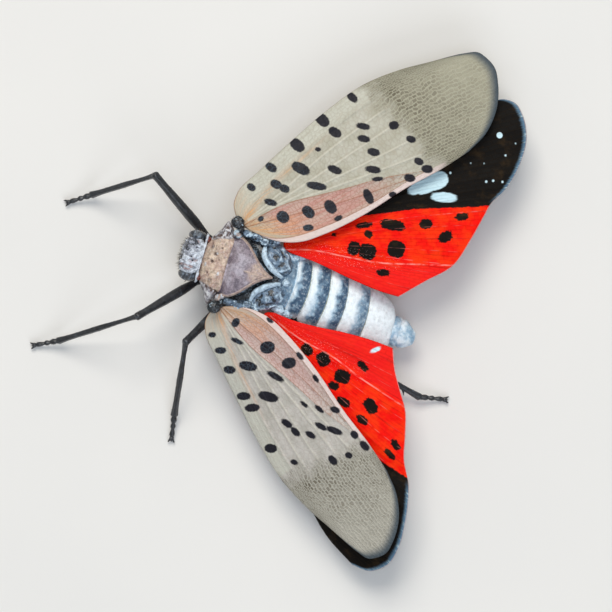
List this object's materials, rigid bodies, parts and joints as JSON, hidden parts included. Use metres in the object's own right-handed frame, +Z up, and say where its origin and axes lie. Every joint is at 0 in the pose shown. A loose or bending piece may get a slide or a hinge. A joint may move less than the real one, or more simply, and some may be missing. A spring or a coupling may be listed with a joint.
{
  "type": "spotted lanternfly",
  "caption": "Life-size spotted lanternfly standing with its spotted forewings half spread over red and black hindwings, with a banded abdomen and slender jointed legs.",
  "frame": {"origin": "on the floor, under the middle of the bounding box", "axes": "+Z up, the head faces -Y and the insect's left side is +X"},
  "size_m": [0.0376, 0.0308, 0.007],
  "materials": {
    "forewing": "leathery tan membrane with dark round spots and a finely netted outer third",
    "hindwing": "red membrane with black spots, a white band and a black outer part",
    "back_plate": "dull grey-purple plate with a tan rim",
    "collar_shell": "dull tan shell, grey at its sides",
    "head_shell": "rough grey shell with short dark bristles",
    "thorax_cuticle": "glossy blue-black cuticle",
    "waxy_abdomen": "blue-black bands under a powdery white wax",
    "leg_cuticle": "dark satin cuticle",
    "eye": "dark finely faceted eye",
    "antenna": "orange, with a dark bristle"
  },
  "bodies": {
    "root": {"head": "head_shell", "eye_left": "eye", "eye_right": "eye", "antenna_left": "antenna", "antenna_right": "antenna", "rostrum": "leg_cuticle", "prothorax": "collar_shell", "scutellum": "back_plate", "thorax": "thorax_cuticle", "tegula_left": "thorax_cuticle", "tegula_right": "thorax_cuticle", "abdomen": "waxy_abdomen", "abdomen_tip": "waxy_abdomen", "forewing_left": "forewing", "forewing_right": "forewing", "hindwing_left": "hindwing", "hindwing_right": "hindwing", "leg_front_left": "leg_cuticle", "leg_front_right": "leg_cuticle", "leg_mid_left": "leg_cuticle", "leg_mid_right": "leg_cuticle", "leg_hind_left": "leg_cuticle", "leg_hind_right": "leg_cuticle"}
  },
  "joints": []
}
